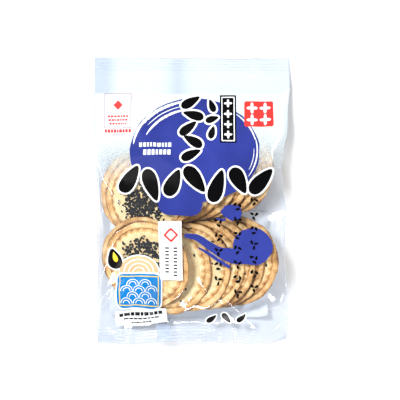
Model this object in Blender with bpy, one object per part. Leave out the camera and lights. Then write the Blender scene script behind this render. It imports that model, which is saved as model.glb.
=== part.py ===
"""A clear pillow bag of round sesame crackers, lying on its back with the shown side up.

The bag is one closed solid: a film tube with a crimped seal at each end, drawn tight over two
rows of leaning crackers. Its outer surface is worked out from the bag's flat size and from the
crackers' sizes, places and lean. Metres, +Z up, +Y towards the bag's top seal.
"""

import math

import bpy
import bmesh
import numpy as np

MM = 0.001

# The bag, measured flat
BAG_WIDTH = 160 * MM
BAG_LENGTH = 233 * MM
SEAL_LENGTH = 14 * MM
CRIMP_PITCH = 2.6 * MM
CRIMP_DEPTH = 0.35 * MM
EDGE_THICKNESS = 1.2 * MM

# The crackers inside
CRACKER_DIAMETER = 71 * MM
CRACKER_THICKNESS = 3.6 * MM
CRACKER_GAP = 0.3 * MM
FILM_CLEARANCE = 0.8 * MM

# Two rows of crackers that lean on each other like fallen dominoes, each row given by the centre
# of its lowest cracker and of its highest one, and then the four that lie on top at the left.
# A rise is how much a cracker climbs towards +X and +Y, as rise over run.
ROW_COUNT = 6
ROW_RISE = (0.36, 0.0)
ROWS = (
    {"low": (36 * MM, -49 * MM), "high": (-18 * MM, -56 * MM)},
    {"low": (31 * MM, 25 * MM), "high": (-19 * MM, 16 * MM)},
)
TOP_CRACKERS = (
    {"centre": (-37 * MM, 7 * MM), "rise": (0.36, -0.04)},
    {"centre": (-33 * MM, 4 * MM), "rise": (0.36, -0.04)},
    {"centre": (-38 * MM, -48 * MM), "rise": (0.36, 0.28)},
    {"centre": (-36 * MM, -52 * MM), "rise": (0.36, 0.28)},
)

# How far the sides draw in over the crackers, and further still at the waist between the rows
FILLED_FROM = -104 * MM
FILLED_TO = 66 * MM
FILL_RAMP = 24 * MM
DRAW_IN = 3.6 * MM
WAIST_Y = -8 * MM
WAIST_DRAW_IN = {-1: 0.8 * MM, 1: 5.5 * MM}
WAIST_HALF_HEIGHT = 20 * MM

# Height of the two side folds over the crackers, and of the seals' lift off the table
FOLD_HEIGHT = {-1: 5 * MM, 1: 13 * MM}
FOLD_ROUNDING = 15 * MM
SEAL_LIFT = {-1: 2.2 * MM, 1: 1.0 * MM}
SEAL_WAVE = 0.7 * MM

# Working grid for the drawn film, and the mesh
CELL = 1.6 * MM
FILM_PASSES = 500
SOFTENING_PASSES = 6
COLUMNS = 38
BODY_ROWS = 44

FILM_COLOUR = (0.80, 0.84, 0.90, 1.0)
FILM_ROUGHNESS = 0.15


def clear_scene():
    for thing in list(bpy.data.objects):
        bpy.data.objects.remove(thing, do_unlink=True)


def smooth_step(value, low, high):
    """0 at low, 1 at high, with a soft start and end."""
    part = np.clip((value - low) / (high - low), 0.0, 1.0)
    return part * part * (3.0 - 2.0 * part)


def filled(y):
    """1 where crackers fill the bag, 0 towards the seals."""
    low = smooth_step(y, FILLED_FROM - FILL_RAMP / 2, FILLED_FROM + FILL_RAMP / 2)
    high = 1.0 - smooth_step(y, FILLED_TO - FILL_RAMP / 2, FILLED_TO + FILL_RAMP / 2)
    return low * high


def side_x(side, y):
    """X of the bag's side fold, side is -1 or 1."""
    waist = np.exp(-((y - WAIST_Y) / WAIST_HALF_HEIGHT) ** 2)
    return side * (BAG_WIDTH / 2 - DRAW_IN * filled(y) - WAIST_DRAW_IN[side] * waist)


def fold_height(side, y):
    """Mid height of the side fold above the table."""
    return EDGE_THICKNESS / 2 + FOLD_HEIGHT[side] * filled(y)


def seal_part(y):
    """0 in the body of the bag, 1 on either end seal."""
    inner = BAG_LENGTH / 2 - SEAL_LENGTH
    return smooth_step(np.abs(y), inner - 2.5 * CRIMP_PITCH, inner)


def seal_height(x, y):
    """Mid height of the end seals, gently waved across the bag."""
    lift = np.where(y > 0, SEAL_LIFT[1], SEAL_LIFT[-1])
    wave = SEAL_WAVE * (1.0 + np.sin(x / BAG_WIDTH * 3.0 * math.pi + np.sign(y)))
    return EDGE_THICKNESS / 2 + CRIMP_DEPTH + lift * np.cos(x / BAG_WIDTH * math.pi) + wave


def crimp(y):
    """Zigzag ridges across the end seals."""
    return CRIMP_DEPTH * np.cos((BAG_LENGTH / 2 - np.abs(y)) / CRIMP_PITCH * 2.0 * math.pi)


def cracker_places():
    """Centre and rise of every cracker, in the order in which they lie on each other."""
    places = []
    for row in ROWS:
        for index in range(ROW_COUNT):
            part = index / (ROW_COUNT - 1)
            centre_x = row["low"][0] + part * (row["high"][0] - row["low"][0])
            centre_y = row["low"][1] + part * (row["high"][1] - row["low"][1])
            places.append(((centre_x, centre_y), ROW_RISE))
    for cracker in TOP_CRACKERS:
        places.append((cracker["centre"], cracker["rise"]))
    return places


def lay_crackers(x, y):
    """Lays the crackers one on another, lowest first, and returns the heap's height over x, y."""
    heap = np.zeros_like(x)
    radius = CRACKER_DIAMETER / 2
    for (centre_x, centre_y), (rise_x, rise_y) in cracker_places():
        slant = math.sqrt(1.0 + rise_x ** 2 + rise_y ** 2)
        plane = rise_x * (x - centre_x) + rise_y * (y - centre_y)
        reach = (x - centre_x) ** 2 + (y - centre_y) ** 2 + plane ** 2
        under = reach <= radius ** 2
        centre_z = np.max(heap[under] - plane[under]) + CRACKER_GAP
        top = centre_z + plane + CRACKER_THICKNESS * slant
        heap = np.where(under, np.maximum(heap, top), heap)
    return heap


def neighbour_mean(film):
    """Each inner point's mean height of its four neighbours."""
    mean = film.copy()
    mean[1:-1, 1:-1] = (film[2:, 1:-1] + film[:-2, 1:-1] + film[1:-1, 2:] + film[1:-1, :-2]) / 4
    return mean


def drawn_film():
    """Height of the front film on a regular grid: taut between the heap and the bag's edges."""
    half_width = BAG_WIDTH / 2
    half_length = BAG_LENGTH / 2
    xs = np.linspace(-half_width, half_width, int(round(BAG_WIDTH / CELL)) + 1)
    ys = np.linspace(-half_length, half_length, int(round(BAG_LENGTH / CELL)) + 1)
    x, y = np.meshgrid(xs, ys, indexing="ij")
    heap = lay_crackers(x, y) + FILM_CLEARANCE
    left = side_x(-1, y)
    right = side_x(1, y)
    across = np.clip((x - left) / (right - left), 0.0, 1.0)
    edge = fold_height(-1, y) * (1.0 - across) + fold_height(1, y) * across
    on_seal = seal_part(y)
    edge = edge * (1.0 - on_seal) + seal_height(x, y) * on_seal
    fixed = (x <= left) | (x >= right) | (on_seal >= 1.0)
    floor = np.where(heap > FILM_CLEARANCE + 1e-6, heap, edge + EDGE_THICKNESS / 2)
    film = np.where(fixed, edge + EDGE_THICKNESS / 2, floor)
    for _ in range(FILM_PASSES):
        film = np.where(fixed, film, np.maximum(floor, neighbour_mean(film)))
    for _ in range(SOFTENING_PASSES):
        film = np.where(fixed, film, neighbour_mean(film))
    return xs, ys, film


def sample(grid, x, y):
    """Bilinear reading of the drawn film."""
    xs, ys, film = grid
    column = np.clip((x - xs[0]) / (xs[1] - xs[0]), 0.0, len(xs) - 1.001)
    line = np.clip((y - ys[0]) / (ys[1] - ys[0]), 0.0, len(ys) - 1.001)
    i = int(column)
    j = int(line)
    u = column - i
    v = line - j
    low = film[i, j] * (1 - u) + film[i + 1, j] * u
    high = film[i, j + 1] * (1 - u) + film[i + 1, j + 1] * u
    return low * (1 - v) + high * v


def row_positions():
    """Y of every line of the mesh: close together on the seals, wider over the body."""
    half = BAG_LENGTH / 2
    step = CRIMP_PITCH / 2
    seal_lines = int(math.ceil(SEAL_LENGTH / step))
    low = [-half + k * step for k in range(seal_lines + 1)]
    body = np.linspace(low[-1], -low[-1], BODY_ROWS + 1)[1:-1]
    high = [-value for value in reversed(low)]
    return low + list(body) + high


def under_height(x, y):
    """Height of the back film: flat on the table, rolling up to the folds and the seals."""
    height = 0.0
    for side in (-1, 1):
        inside = side * (side_x(side, y) - x)
        roll = max(0.0, 1.0 - inside / FOLD_ROUNDING)
        height = max(height, (fold_height(side, y) - EDGE_THICKNESS / 2) * roll ** 2)
    on_seal = float(seal_part(y))
    seal = float(seal_height(x, y)) - EDGE_THICKNESS / 2
    return height * (1.0 - on_seal) + (seal + float(crimp(y))) * on_seal


def bag_mesh():
    """One closed mesh: a front sheet and a back sheet of the same grid, walled round the edge."""
    grid = drawn_film()
    lines = row_positions()
    mesh = bmesh.new()
    front = []
    back = []
    for y in lines:
        left = float(side_x(-1, y))
        right = float(side_x(1, y))
        on_seal = float(seal_part(y))
        front_line = []
        back_line = []
        for k in range(COLUMNS + 1):
            angle = math.pi * k / COLUMNS
            even = k / COLUMNS
            share = 0.55 * even + 0.45 * (1.0 - math.cos(angle)) / 2
            x = left + share * (right - left)
            low = under_height(x, y)
            high = max(sample(grid, x, y) + float(crimp(y)) * on_seal, low + EDGE_THICKNESS)
            front_line.append(mesh.verts.new((x, y, high)))
            back_line.append(mesh.verts.new((x, y, low)))
        front.append(front_line)
        back.append(back_line)
    for j in range(len(lines) - 1):
        for k in range(COLUMNS):
            mesh.faces.new((front[j][k], front[j][k + 1], front[j + 1][k + 1], front[j + 1][k]))
            mesh.faces.new((back[j][k], back[j + 1][k], back[j + 1][k + 1], back[j][k + 1]))
        mesh.faces.new((front[j][0], front[j + 1][0], back[j + 1][0], back[j][0]))
        mesh.faces.new((front[j + 1][-1], front[j][-1], back[j][-1], back[j + 1][-1]))
    for k in range(COLUMNS):
        mesh.faces.new((front[0][k + 1], front[0][k], back[0][k], back[0][k + 1]))
        mesh.faces.new((front[-1][k], front[-1][k + 1], back[-1][k + 1], back[-1][k]))
    bmesh.ops.recalc_face_normals(mesh, faces=mesh.faces)
    return mesh


def film_material():
    material = bpy.data.materials.new("clear_film")
    material.use_nodes = True
    shader = material.node_tree.nodes["Principled BSDF"]
    shader.inputs["Base Color"].default_value = FILM_COLOUR
    shader.inputs["Roughness"].default_value = FILM_ROUGHNESS
    shader.inputs["Metallic"].default_value = 0.0
    return material


def make_bag():
    mesh = bag_mesh()
    data = bpy.data.meshes.new("bag")
    mesh.to_mesh(data)
    mesh.free()
    data.shade_smooth()
    data.materials.append(film_material())
    bag = bpy.data.objects.new("bag", data)
    bpy.context.scene.collection.objects.link(bag)
    return bag


clear_scene()
make_bag()
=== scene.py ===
"""Looks of a sealed clear bag of round sesame crackers, lying on its back with the print up.

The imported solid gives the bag's size and place. Inside it this script lays the crackers one on
another, drapes a clear film tube over them with a small position-based simulation, prints the
film with plain fields of colour, and lights the bag on a pale floor. Metres, +Z up, +Y towards
the bag's top seal.
"""

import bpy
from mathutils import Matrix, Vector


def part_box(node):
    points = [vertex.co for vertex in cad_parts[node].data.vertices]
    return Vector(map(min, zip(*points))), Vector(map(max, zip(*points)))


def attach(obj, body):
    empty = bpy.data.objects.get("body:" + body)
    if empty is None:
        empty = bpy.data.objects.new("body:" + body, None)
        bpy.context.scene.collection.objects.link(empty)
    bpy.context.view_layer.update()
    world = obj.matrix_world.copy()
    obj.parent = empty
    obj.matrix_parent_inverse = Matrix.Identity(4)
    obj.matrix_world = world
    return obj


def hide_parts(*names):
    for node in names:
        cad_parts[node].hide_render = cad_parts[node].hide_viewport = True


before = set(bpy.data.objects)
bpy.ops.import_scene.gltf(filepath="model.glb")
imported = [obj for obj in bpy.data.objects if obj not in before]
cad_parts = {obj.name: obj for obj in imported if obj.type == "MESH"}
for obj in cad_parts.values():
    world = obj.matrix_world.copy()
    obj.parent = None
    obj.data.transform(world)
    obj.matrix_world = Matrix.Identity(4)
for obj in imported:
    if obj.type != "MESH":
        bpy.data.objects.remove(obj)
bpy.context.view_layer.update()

import math

import bpy
import numpy as np
from mathutils import Vector
from mathutils.geometry import delaunay_2d_cdt

MM = 0.001
TURN = 2.0 * math.pi

# The bag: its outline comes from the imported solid, its seals repeat the part's
BAG_LOW, BAG_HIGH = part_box("bag")
BAG_WIDTH = BAG_HIGH.x - BAG_LOW.x
BAG_LENGTH = BAG_HIGH.y - BAG_LOW.y
SEAL_LENGTH = 14 * MM
CRIMP_PITCH = 2.6 * MM
CRIMP_DEPTH = 0.30 * MM
SEAL_FROST = 0.32
SEAM_FROST = 0.40
FOLD_FROST = 0.45

# The film before it is filled: a little longer than the bag looks, and it gives over the heap
FLAT_WIDTH = BAG_WIDTH * 1.004
FLAT_LENGTH = BAG_LENGTH * 1.043
FILM_GIVE = 0.025
FILM_CLEARANCE = 0.6 * MM
CONTENT_SLOPE = 3.0
BACK_HEIGHT = 0.30 * MM
FRONT_HEIGHT = 0.45 * MM

# Film simulation: columns, rows, time steps and random nudge of each finer level
FILM_LEVELS = (
    {"columns": 32, "rows": 48, "steps": 120, "nudge": 0.020 * MM},
    {"columns": 64, "rows": 96, "steps": 120, "nudge": 0.020 * MM},
    {"columns": 108, "rows": 160, "steps": 80, "nudge": 0.010 * MM},
)
PASSES = 3
FALL = 0.002 * MM
DAMPING = 0.90
LONGEST_MOVE = 1.5 * MM
STRETCH_HOLD = 1.0
PRESS_HOLD = 0.35
SHEAR_HOLD = 0.35
BEND_HOLD = 0.25
SMOOTHING = 4

# The crackers, laid as in the part
CRACKER_RADIUS = 35.5 * MM
CRACKER_THICKNESS = 3.6 * MM
CRACKER_GAP = 0.3 * MM
ROW_RISE = (0.36, 0.0)
ROWS = (
    {"low": (36 * MM, -49 * MM), "high": (-18 * MM, -56 * MM), "steps": (0, 0.21, 0.34, 0.50, 0.71, 1)},
    {"low": (32 * MM, 25 * MM), "high": (-22 * MM, 16 * MM), "steps": (0, 0.17, 0.34, 0.52, 0.74, 1)},
)
TOP_CRACKERS = (
    {"centre": (-40 * MM, 6 * MM), "rise": (0.36, -0.04)},
    {"centre": (-35 * MM, 3 * MM), "rise": (0.36, -0.04)},
    {"centre": (-38 * MM, -48 * MM), "rise": (0.36, 0.28)},
    {"centre": (-36 * MM, -52 * MM), "rise": (0.36, 0.28)},
)

# A cracker's pressed form, outwards from the middle: face, ridge with a scalloped outer side,
# groove, thin flange
LOBES = 29
COLUMNS_PER_LOBE = 8
RIM_RADIUS = 36.3 * MM
WRAPPED_RADIUS = RIM_RADIUS + 0.9 * MM
FACE_HEIGHT = 2.2 * MM
RIDGE_HEIGHT = 3.5 * MM
RIDGE_RADIUS = 28.2 * MM
RIDGE_SLOPE = 6.0 * MM
GROOVE_RADIUS = 30.9 * MM
GROOVE_HEIGHT = 1.05 * MM
LOBE_DEPTH = 1.3 * MM
FLANGE_TOP = 1.65 * MM
FLANGE_UNDERSIDE = 0.35 * MM

# Where one cracker lies close over the next, painted shade darkens the lower one a little past the upper
# one's rim
OVERLAP_GAP = 7 * MM
OVERLAP_REACH = 0.9 * MM
OVERLAP_PAINTED_SHADE = 0.46

# Sesame seeds, and the two patches that show
SEED_SIZE = (2.8 * MM, 1.65 * MM, 0.90 * MM)
SEED_PATCHES = (
    {"cracker": 13, "offset": (-1 * MM, -6 * MM), "spread": (17.5 * MM, 13.0 * MM), "count": 420},
    {"cracker": 15, "offset": (-2 * MM, 6 * MM), "spread": (16.5 * MM, 16.5 * MM), "count": 400},
)
STRAYS = {"count": 22, "across": (-25 * MM, 64 * MM), "along": (-84 * MM, -20 * MM)}

# The long seam on the back film, and the blank paper label stuck to it
SEAM_SIDES = (-30 * MM, -18.5 * MM)
LABEL_SHEET = {"across": (-67 * MM, 61 * MM), "along": (-95 * MM, -7 * MM)}
LABEL_FIELD = {"across": (-62 * MM, 63 * MM), "along": (-81 * MM, -22 * MM)}

# The print, in millimetres as it looks on the filled bag
OUTLINE = 1.5
LAYER_LIFT = {"fade": 0.020 * MM, "blue": 0.045 * MM, "white": 0.070 * MM,
              "dark": 0.095 * MM, "top": 0.120 * MM}
FADE_FROM = 8 * MM
FADE_TO = 64 * MM
FADE_COVER = 0.93
HEADER_FROM = 90.4 * MM

ROUND_FIELD = {"centre": (2.2, 40.5), "radii": (52.4, 42.5)}
FIELD_ARCS = (
    {"part": 0.955, "from": 96, "to": 172, "width": 2.6},
    {"part": 0.870, "from": 104, "to": 146, "width": 0.8},
    {"part": 0.795, "from": 98, "to": 158, "width": 2.0},
    {"part": 0.955, "from": 12, "to": 47, "width": 1.3},
    {"part": 0.965, "from": -31, "to": 14, "width": 1.1},
    {"part": 0.915, "from": -24, "to": 2, "width": 0.6},
)

BLUE_INK = (0.029, 0.042, 0.255)
SKY_INK = (0.006, 0.190, 0.520)
BLACK_INK = (0.0022, 0.0020, 0.0024)
WHITE_INK = (0.88, 0.90, 0.92)
FADE_INK = (0.69, 0.77, 0.80)
# grey-blue of a painted reflection on the header's white ink
FADE_SHADE = (0.41, 0.48, 0.61)
RED_INK = (0.850, 0.045, 0.040)
PINK_INK = (0.45, 0.27, 0.36)
YELLOW_INK = (0.850, 0.600, 0.050)
CREAM_INK = (0.660, 0.430, 0.230)

# Camera: straight above, far enough for little perspective
CAMERA_AT = (6.75 * MM, 0.4 * MM, 1.6)
VIEW_WIDTH = 327.4 * MM
SENSOR = 36.0


def smooth_step(value, low, high):
    """0 at low, 1 at high, with a soft start and end."""
    part = np.clip((value - low) / (high - low), 0.0, 1.0)
    return part * part * (3.0 - 2.0 * part)


def bump(value, middle, width):
    """1 at middle, falling to 0 a few widths away."""
    return np.exp(-((value - middle) / width) ** 2)


def ripple(x, y, wavelength, rng, waves=8):
    """Smooth random relief of about unit height over x, y: a sum of plane waves."""
    total = np.zeros_like(x)
    for _ in range(waves):
        angle = rng.uniform(0.0, TURN)
        number = TURN / (wavelength * rng.uniform(0.7, 1.4))
        phase = rng.uniform(0.0, TURN)
        total += np.sin(number * (x * math.cos(angle) + y * math.sin(angle)) + phase)
    return total * math.sqrt(2.0 / waves)


# ---------------------------------------------------------------- meshes

def new_object(name, points, faces, material, smooth=True):
    """A mesh object from arrays of points and of faces."""
    data = bpy.data.meshes.new(name)
    data.from_pydata(points.reshape(-1, 3).tolist(), [], [list(face) for face in faces])
    data.materials.append(material)
    if smooth:
        data.shade_smooth()
    piece = bpy.data.objects.new(name, data)
    bpy.context.scene.collection.objects.link(piece)
    return piece


def add_attribute(piece, name, values):
    """Stores one number for each vertex, for the material to read."""
    attribute = piece.data.attributes.new(name, "FLOAT", "POINT")
    attribute.data.foreach_set("value", np.asarray(values, np.float32).ravel())


# ---------------------------------------------------------------- materials

def new_material(name):
    """An empty node material."""
    material = bpy.data.materials.new(name)
    material.use_nodes = True
    nodes = material.node_tree.nodes
    nodes.clear()
    return material


def add_node(material, kind, **settings):
    """Adds a node; a setting named as an input sets that input, any other sets the node."""
    node = material.node_tree.nodes.new(kind)
    for name, value in settings.items():
        socket = node.inputs.get(name.replace("_", " "))
        if socket is not None:
            socket.default_value = value
        else:
            setattr(node, name, value)
    return node


def link(material, source, target):
    material.node_tree.links.new(source, target)


def add_ramp(material, factor, stops):
    """A colour ramp from (position, colour) stops, driven by a factor."""
    ramp = add_node(material, "ShaderNodeValToRGB")
    elements = ramp.color_ramp.elements
    while len(elements) < len(stops):
        elements.new(0.5)
    for element, (position, colour) in zip(elements, stops):
        element.position = position
        element.color = colour
    link(material, factor, ramp.inputs["Fac"])
    return ramp


def finish_material(material, shader):
    output = add_node(material, "ShaderNodeOutputMaterial")
    link(material, shader.outputs[0], output.inputs["Surface"])
    return material


def cracker_material():
    """Baked dough: cream face, browned flange, fine pores, with painted shade on the flutes, along the
    groove and where a cracker above lies close.
    """
    material = new_material("baked_dough")
    toast_and_shade = add_node(material, "ShaderNodeAttribute", attribute_name="toast_and_shade")
    place = add_node(material, "ShaderNodeTexCoord")
    patches = add_node(material, "ShaderNodeTexNoise", Scale=110.0, Detail=4.0, Roughness=0.6)
    grain = add_node(material, "ShaderNodeTexNoise", Scale=750.0, Detail=3.0, Roughness=0.6)
    link(material, place.outputs["Object"], patches.inputs["Vector"])
    link(material, place.outputs["Object"], grain.inputs["Vector"])
    blotch = add_node(material, "ShaderNodeMath", operation="MULTIPLY_ADD")
    blotch.inputs[1].default_value = 0.40
    blotch.inputs[2].default_value = -0.20
    link(material, patches.outputs["Fac"], blotch.inputs[0])
    speck = add_node(material, "ShaderNodeMath", operation="MULTIPLY_ADD")
    speck.inputs[1].default_value = 0.80
    speck.inputs[2].default_value = -0.40
    link(material, grain.outputs["Fac"], speck.inputs[0])
    first = add_node(material, "ShaderNodeMath", operation="ADD")
    link(material, toast_and_shade.outputs["Fac"], first.inputs[0])
    link(material, blotch.outputs[0], first.inputs[1])
    second = add_node(material, "ShaderNodeMath", operation="ADD", use_clamp=True)
    link(material, first.outputs[0], second.inputs[0])
    link(material, speck.outputs[0], second.inputs[1])
    ramp = add_ramp(material, second.outputs[0], (
        (0.0, (0.90, 0.74, 0.41, 1.0)),
        (0.30, (0.85, 0.58, 0.27, 1.0)),
        (0.58, (0.64, 0.34, 0.12, 1.0)),
        (1.0, (0.17, 0.075, 0.025, 1.0)),
    ))
    pores = add_node(material, "ShaderNodeTexNoise", Scale=1500.0, Detail=4.0, Roughness=0.7)
    link(material, place.outputs["Object"], pores.inputs["Vector"])
    relief = add_node(material, "ShaderNodeBump", Strength=0.50, Distance=0.0004)
    link(material, pores.outputs["Fac"], relief.inputs["Height"])
    shader = add_node(material, "ShaderNodeBsdfPrincipled", Roughness=0.75)
    shader.inputs["Specular IOR Level"].default_value = 0.3
    link(material, ramp.outputs["Color"], shader.inputs["Base Color"])
    link(material, relief.outputs["Normal"], shader.inputs["Normal"])
    return finish_material(material, shader)


def sesame_material():
    """Toasted black seed: nearly black, faintly grey, with a dull shine."""
    material = new_material("black_sesame")
    place = add_node(material, "ShaderNodeTexCoord")
    tone = add_node(material, "ShaderNodeTexNoise", Scale=500.0, Detail=2.0)
    link(material, place.outputs["Object"], tone.inputs["Vector"])
    ramp = add_ramp(material, tone.outputs["Fac"], (
        (0.35, (0.005, 0.006, 0.008, 1.0)),
        (0.75, (0.028, 0.030, 0.034, 1.0)),
    ))
    shader = add_node(material, "ShaderNodeBsdfPrincipled", Roughness=0.45)
    shader.inputs["Specular IOR Level"].default_value = 0.3
    link(material, ramp.outputs["Color"], shader.inputs["Base Color"])
    return finish_material(material, shader)


# ---------------------------------------------------------------- crackers

def cracker_places():
    """Centre and rise of every cracker, in the order in which they lie on each other."""
    places = []
    for row in ROWS:
        for step in row["steps"]:
            centre_x = row["low"][0] + step * (row["high"][0] - row["low"][0])
            centre_y = row["low"][1] + step * (row["high"][1] - row["low"][1])
            places.append(((centre_x, centre_y), ROW_RISE))
    for cracker in TOP_CRACKERS:
        places.append((cracker["centre"], cracker["rise"]))
    return places


class Heap:
    """The laid crackers: each one's place, and the faces that the film wraps on a grid."""

    CELL = 1.0 * MM
    MARGIN = 8 * MM

    def __init__(self):
        half_width = BAG_WIDTH / 2 + self.MARGIN
        half_length = BAG_LENGTH / 2 + self.MARGIN
        self.xs = np.arange(-half_width, half_width, self.CELL)
        self.ys = np.arange(-half_length, half_length, self.CELL)
        x, y = np.meshgrid(self.xs, self.ys, indexing="ij")
        laid = np.full_like(x, BACK_HEIGHT)
        self.top = np.zeros_like(x)
        self.low = np.full_like(x, np.inf)
        self.places = []
        for (centre_x, centre_y), (rise_x, rise_y) in cracker_places():
            slant = math.sqrt(1.0 + rise_x ** 2 + rise_y ** 2)
            plane = rise_x * (x - centre_x) + rise_y * (y - centre_y)
            reach = (x - centre_x) ** 2 + (y - centre_y) ** 2 + plane ** 2
            under = reach <= CRACKER_RADIUS ** 2
            centre_z = np.max(laid[under] - plane[under]) + CRACKER_GAP
            upper = centre_z + plane + CRACKER_THICKNESS * slant
            laid = np.where(under, np.maximum(laid, upper), laid)
            wrapped = reach <= WRAPPED_RADIUS ** 2
            self.top = np.where(wrapped, np.maximum(self.top, upper), self.top)
            self.low = np.where(wrapped, np.minimum(self.low, centre_z + plane), self.low)
            self.places.append(self.axes((centre_x, centre_y, centre_z), rise_x, rise_y))

    @staticmethod
    def axes(origin, rise_x, rise_y):
        """A cracker's own axes in the row frame: origin under its middle, then X, Y and up."""
        up = np.array((-rise_x, -rise_y, 1.0))
        up /= np.linalg.norm(up)
        across = np.array((1.0, 0.0, rise_x))
        across /= np.linalg.norm(across)
        along = np.cross(up, across)
        return np.array(origin), across, along, up


def cracker_top(x, y, rng_seed):
    """Height of a cracker's upper face over its own x, y, and its browning with painted shade in the
    groove, at the ridge's inner foot and on its scalloped outer side.
    """
    rng = np.random.default_rng(rng_seed)
    radius = np.hypot(x, y)
    angle = np.arctan2(y, x) + rng.uniform(0.0, TURN)
    wobble = 0.35 * ripple(x, y, 30 * MM, rng)
    lobe = np.abs(np.cos(angle * LOBES / 2.0 + wobble)) ** 0.8
    swell = ripple(x, y, 26 * MM, rng)
    dimple = ripple(x, y, 7 * MM, rng)
    pit = ripple(x, y, 2.6 * MM, rng)
    crest = RIDGE_RADIUS + LOBE_DEPTH * (lobe - 0.6)
    foot = GROOVE_RADIUS + 0.45 * LOBE_DEPTH * (lobe - 0.6)
    climb = smooth_step(radius, crest - RIDGE_SLOPE, crest)
    drop = np.clip((radius - crest) / (foot - crest), 0.0, 1.0) ** 1.2
    inside = FACE_HEIGHT + (RIDGE_HEIGHT - FACE_HEIGHT) * climb
    rise = smooth_step(radius, foot, foot + 2.2 * MM)
    flange = GROOVE_HEIGHT + (FLANGE_TOP - GROOVE_HEIGHT) * rise
    flange = flange + 0.25 * MM * rise * ripple(x, y, 20 * MM, rng)
    edge = smooth_step(radius, RIM_RADIUS - 1.0 * MM, RIM_RADIUS)
    outer = np.clip((radius - foot) / (RIM_RADIUS - foot), 0.0, 1.0)
    height = inside * (1.0 - drop) + flange * drop - 0.25 * MM * edge
    height = height + 0.13 * MM * swell + 0.06 * MM * dimple + 0.03 * MM * pit
    side = smooth_step(drop, 0.0, 0.35) * (1.0 - rise)
    toast_and_shade = 0.08 + rng.normal(0.0, 0.03) + 0.05 * swell + 0.04 * dimple
    # the ridge's scalloped outer side darker, most in the hollows between scallops: partly browning, partly
    # painted shade
    toast_and_shade = toast_and_shade + side * (0.44 - 0.26 * lobe ** 4)
    # painted shade: a dark line along the groove at the ridge's foot
    toast_and_shade = toast_and_shade + 0.36 * bump(radius, foot + 0.25 * MM, 0.6 * MM)
    # painted shade: a faint dark line where the face meets the ridge's inner slope
    toast_and_shade = toast_and_shade + 0.10 * bump(radius, crest - RIDGE_SLOPE, 1.0 * MM)
    uneven = 0.07 * ripple(x, y, 11 * MM, rng) + 0.08 * ripple(x, y, 45 * MM, rng)
    toast_and_shade = toast_and_shade + rise * (0.24 + uneven + 0.26 * outer ** 2) + 0.24 * edge
    return height, toast_and_shade


def cracker_radii():
    """Radii of the rings of a cracker's upper face, close together over ridge and groove."""
    face = np.linspace(3.0 * MM, 22.0 * MM, 8)
    ridge = np.linspace(23.5 * MM, 27.0 * MM, 4)
    side = np.linspace(27.5 * MM, 32.0 * MM, 12)
    flange = np.linspace(32.8 * MM, RIM_RADIUS - 0.1 * MM, 7)
    return np.concatenate((face, ridge, side, flange))


def on_cracker(place, spots):
    """Plan points in a cracker's own x, y, and the height of its plane there."""
    origin, across, along, up = place
    slide = spots[..., :2] - origin[:2]
    height = -(slide @ up[:2]) / up[2]
    offset = np.concatenate((slide, height[..., None]), axis=-1)
    return offset @ across, offset @ along, origin[2] + height


def painted_overlap_shade(points, places_above):
    """Painted shade: 1 where a cracker above lies close over a point, falling to 0 a little past its rim.
    """
    shade = np.zeros(len(points))
    for place in places_above:
        x, y, height = on_cracker(place, points)
        past_rim = np.maximum(np.hypot(x, y) - RIM_RADIUS, 0.0)
        close = height + FLANGE_TOP - points[:, 2] < OVERLAP_GAP
        shade = np.maximum(shade, np.where(close, bump(past_rim, 0.0, OVERLAP_REACH), 0.0))
    return shade


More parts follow.
